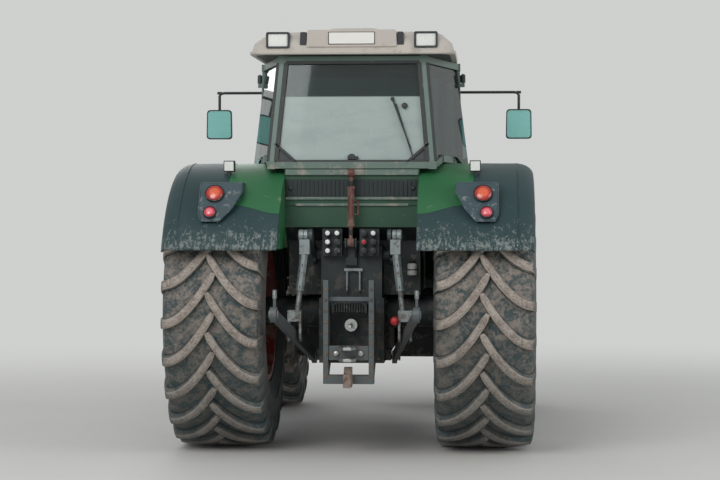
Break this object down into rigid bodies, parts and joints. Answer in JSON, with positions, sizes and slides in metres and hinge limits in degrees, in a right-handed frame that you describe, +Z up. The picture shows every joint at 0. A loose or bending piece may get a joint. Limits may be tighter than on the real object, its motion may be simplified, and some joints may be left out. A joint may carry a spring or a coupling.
{
  "type": "farm tractor",
  "caption": "Four-wheel-drive farm tractor with cab, tilting hood, steered front axle, doors and a rear three-point linkage.",
  "frame": {"origin": "on the ground, halfway along the tractor's length and on its centre line", "axes": "+Y is the driving direction, +X is the tractor's right-hand side, +Z is up"},
  "size_m": [2.624, 4.7689, 3.0168],
  "materials": {
    "body_green": "semi-gloss green paint, dusty",
    "roof_cream": "cream plastic, weathered",
    "frame_dark": "dark grey paint",
    "door_frame": "dark grey paint",
    "plastic_grey": "grey textured plastic",
    "plastic_black": "black plastic",
    "glass_tinted": "tinted glass",
    "lamp_red": "red lens",
    "lamp_clear": "clear lens",
    "tyre_rubber": "rubber with dried mud",
    "rim_red": "red paint, dusty",
    "hub_iron": "grey painted casting",
    "link_iron": "worn dark paint",
    "top_link_red": "dark red-brown paint",
    "bright_steel": "bare steel",
    "exhaust_steel": "heat-dulled steel",
    "seat_fabric": "dark seat cloth"
  },
  "bodies": {
    "chassis": {"rear_fenders": "body_green", "cab_base": "body_green", "roof": "roof_cream", "cab_frame": "frame_dark", "fender_flares": "plastic_grey", "dashboard": "plastic_black", "mirrors": "plastic_black", "steps": "plastic_black", "tool_box": "plastic_black", "fuel_tank": "plastic_black", "windows": "glass_tinted", "tail_lamps": "lamp_red", "work_lamps": "lamp_clear", "front_axle": "hub_iron", "rear_axle": "hub_iron", "transmission_housing": "hub_iron", "engine_block": "hub_iron", "front_frame": "hub_iron", "front_weights": "hub_iron", "front_drive_shaft": "hub_iron", "hood_brackets": "hub_iron", "hitch_ladder": "link_iron", "hydraulic_couplers": "link_iron", "top_link_bracket": "top_link_red", "exhaust": "exhaust_steel", "seat": "seat_fabric"},
    "rear_wheel_left": {"rear_tyre_left": "tyre_rubber", "rear_rim_left": "rim_red"},
    "rear_wheel_right": {"rear_tyre_right": "tyre_rubber", "rear_rim_right": "rim_red"},
    "knuckle_left": {"knuckle_left": "hub_iron"},
    "knuckle_right": {"knuckle_right": "hub_iron"},
    "front_wheel_left": {"front_tyre_left": "tyre_rubber", "front_rim_left": "rim_red"},
    "front_wheel_right": {"front_tyre_right": "tyre_rubber", "front_rim_right": "rim_red"},
    "tie_rod": {"tie_rod": "hub_iron"},
    "door_left": {"door_left": "door_frame", "door_glass_left": "glass_tinted"},
    "door_right": {"door_right": "door_frame", "door_glass_right": "glass_tinted"},
    "hood": {"hood": "body_green", "grille": "plastic_black", "headlamps": "lamp_clear"},
    "rockshaft": {"rockshaft": "link_iron"},
    "lift_rod_left": {"lift_rod_left": "link_iron"},
    "lift_rod_right": {"lift_rod_right": "link_iron"},
    "lower_link_left": {"lower_link_left": "link_iron"},
    "lower_link_right": {"lower_link_right": "link_iron"},
    "top_link": {"top_link": "top_link_red"},
    "trailer_coupling": {"trailer_coupling": "link_iron"},
    "pto_shaft": {"pto_shaft": "bright_steel"},
    "steering_wheel": {"steering_wheel": "plastic_black"}
  },
  "joints": [
    {"name": "rear_wheel_spin_left", "type": "hinge", "parent": "chassis", "child": "rear_wheel_left", "pos_m": [-0.94, -1.235, 0.98], "axis": [-1, 0, 0], "continuous": true},
    {"name": "steer_left", "type": "hinge", "parent": "chassis", "child": "knuckle_left", "pos_m": [-0.705, 1.485, 0.745], "axis": [0, 0, 1], "range_deg": [-35, 35]},
    {"name": "front_wheel_spin_left", "type": "hinge", "parent": "knuckle_left", "child": "front_wheel_left", "pos_m": [-0.94, 1.485, 0.745], "axis": [-1, 0, 0], "continuous": true},
    {"name": "door_left_swing", "type": "hinge", "parent": "chassis", "child": "door_left", "pos_m": [-0.79507, -0.6435, 1.97767], "axis": [0.0301, 0, 0.9995], "range_deg": [0, 60]},
    {"name": "lift_rod_left_pivot", "type": "hinge", "parent": "rockshaft", "child": "lift_rod_left", "pos_m": [-0.309, -1.83, 1.546], "axis": [1, 0, 0], "range_deg": [-61.5, 0.5]},
    {"name": "lower_link_left_pivot", "type": "hinge", "parent": "chassis", "child": "lower_link_left", "pos_m": [-0.29, -1.385, 0.66], "axis": [1, 0, 0], "range_deg": [-0.5, 41.5]},
    {"name": "rear_wheel_spin_right", "type": "hinge", "parent": "chassis", "child": "rear_wheel_right", "pos_m": [0.94, -1.235, 0.98], "axis": [-1, 0, 0], "continuous": true},
    {"name": "steer_right", "type": "hinge", "parent": "chassis", "child": "knuckle_right", "pos_m": [0.705, 1.485, 0.745], "axis": [0, 0, 1], "range_deg": [-35, 35]},
    {"name": "front_wheel_spin_right", "type": "hinge", "parent": "knuckle_right", "child": "front_wheel_right", "pos_m": [0.94, 1.485, 0.745], "axis": [-1, 0, 0], "continuous": true},
    {"name": "door_right_swing", "type": "hinge", "parent": "chassis", "child": "door_right", "pos_m": [0.79507, -0.6435, 1.97767], "axis": [0.0301, 0, -0.9995], "range_deg": [0, 60]},
    {"name": "lift_rod_right_pivot", "type": "hinge", "parent": "rockshaft", "child": "lift_rod_right", "pos_m": [0.309, -1.83, 1.546], "axis": [1, 0, 0], "range_deg": [-61.5, 0.5]},
    {"name": "lower_link_right_pivot", "type": "hinge", "parent": "chassis", "child": "lower_link_right", "pos_m": [0.29, -1.385, 0.66], "axis": [1, 0, 0], "range_deg": [-0.5, 41.5]},
    {"name": "tie_rod_pivot", "type": "hinge", "parent": "knuckle_left", "child": "tie_rod", "pos_m": [-0.705, 1.25, 0.641], "axis": [0, 0, 1], "range_deg": [-35.5, 35.5]},
    {"name": "hood_tilt", "type": "hinge", "parent": "chassis", "child": "hood", "pos_m": [0, 0.375, 1.738], "axis": [1, 0, 0], "range_deg": [0, 50]},
    {"name": "rockshaft_turn", "type": "hinge", "parent": "chassis", "child": "rockshaft", "pos_m": [0, -1.5, 1.4], "axis": [1, 0, 0], "range_deg": [0, 59]},
    {"name": "top_link_pivot", "type": "hinge", "parent": "chassis", "child": "top_link", "pos_m": [0, -1.76, 1.492], "axis": [1, 0, 0], "range_deg": [0, 110]},
    {"name": "coupling_height", "type": "slide", "parent": "chassis", "child": "trailer_coupling", "axis": [0, 0, 1], "range_m": [0, 0.25]},
    {"name": "pto_spin", "type": "hinge", "parent": "chassis", "child": "pto_shaft", "pos_m": [0, -1.75, 0.912], "axis": [0, 1, 0], "continuous": true},
    {"name": "steering_wheel_turn", "type": "hinge", "parent": "chassis", "child": "steering_wheel", "pos_m": [0, -0.33, 1.8], "axis": [0, -0.5, 0.866], "range_deg": [-421, 421]}
  ],
  "couplings": [
    {"joint": "steer_right", "follows": "steer_left", "ratio": 1},
    {"joint": "tie_rod_pivot", "follows": "steer_left", "ratio": -1},
    {"joint": "steering_wheel_turn", "follows": "steer_left", "ratio": 12},
    {"joint": "lift_rod_left_pivot", "follows": "rockshaft_turn", "ratio": -1.032},
    {"joint": "lower_link_left_pivot", "follows": "rockshaft_turn", "ratio": 0.692},
    {"joint": "lift_rod_right_pivot", "follows": "rockshaft_turn", "ratio": -1.032},
    {"joint": "lower_link_right_pivot", "follows": "rockshaft_turn", "ratio": 0.692}
  ]
}
